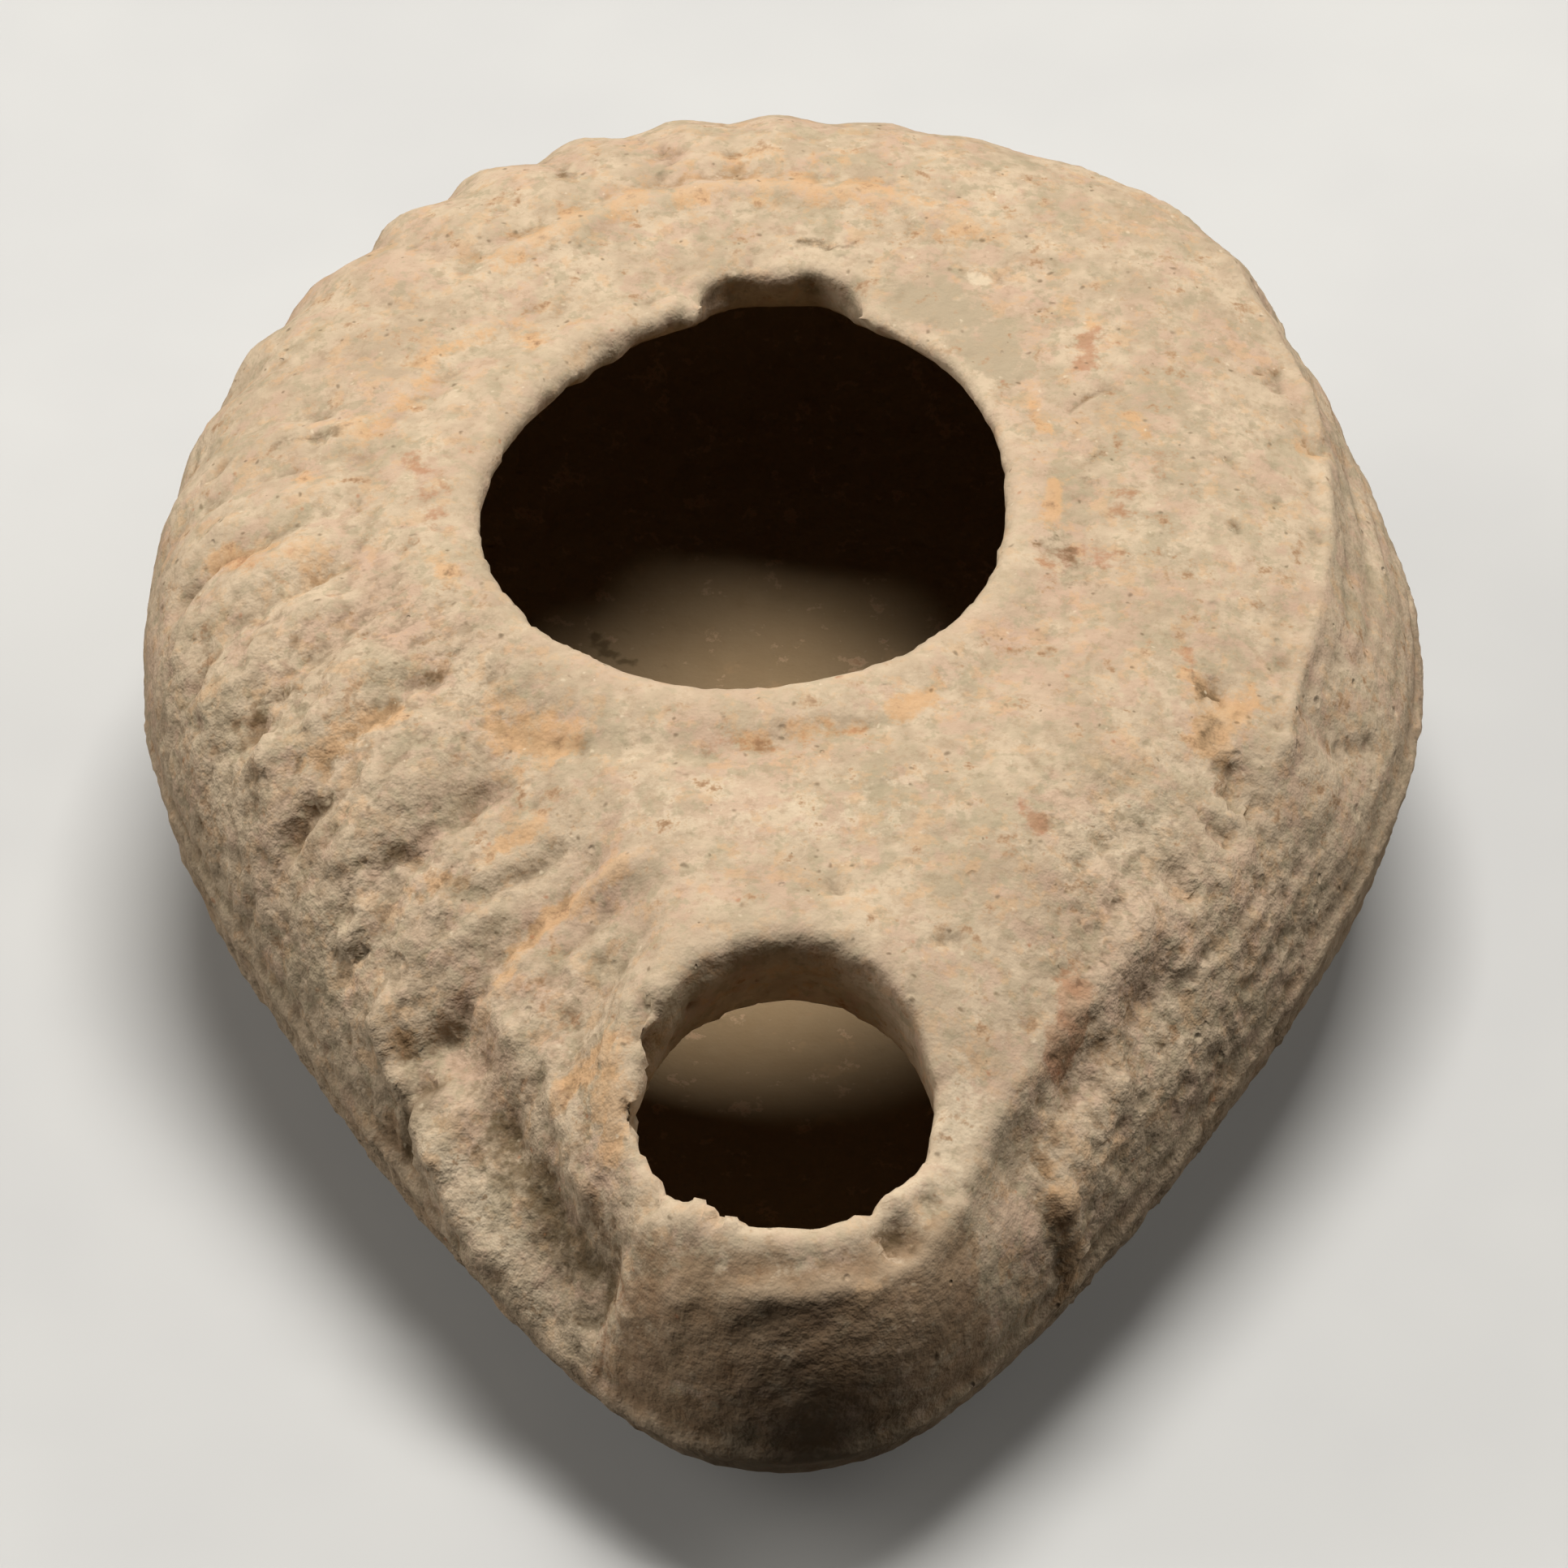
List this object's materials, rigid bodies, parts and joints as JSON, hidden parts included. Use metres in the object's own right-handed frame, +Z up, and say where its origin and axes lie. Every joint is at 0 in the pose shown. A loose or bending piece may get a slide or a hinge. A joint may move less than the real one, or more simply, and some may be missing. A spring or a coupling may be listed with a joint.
{
  "type": "oil lamp",
  "caption": "Almond-shaped mould-made Roman oil lamp in buff fired clay, hollow, with a wide filling hole, a round wick hole, ribbed shoulder and a low ring foot.",
  "frame": {"origin": "on the surface the lamp stands on, under the middle of its bounding box", "axes": "+Z up, -Y towards the nozzle, +Y towards the back of the body, +X to the right when facing +Y"},
  "size_m": [0.0704, 0.0944, 0.0289],
  "materials": {
    "fired_clay": "matt, weathered buff earthenware with rough worn relief, small pits and orange stains"
  },
  "bodies": {
    "root": {"lamp": "fired_clay"}
  },
  "joints": []
}
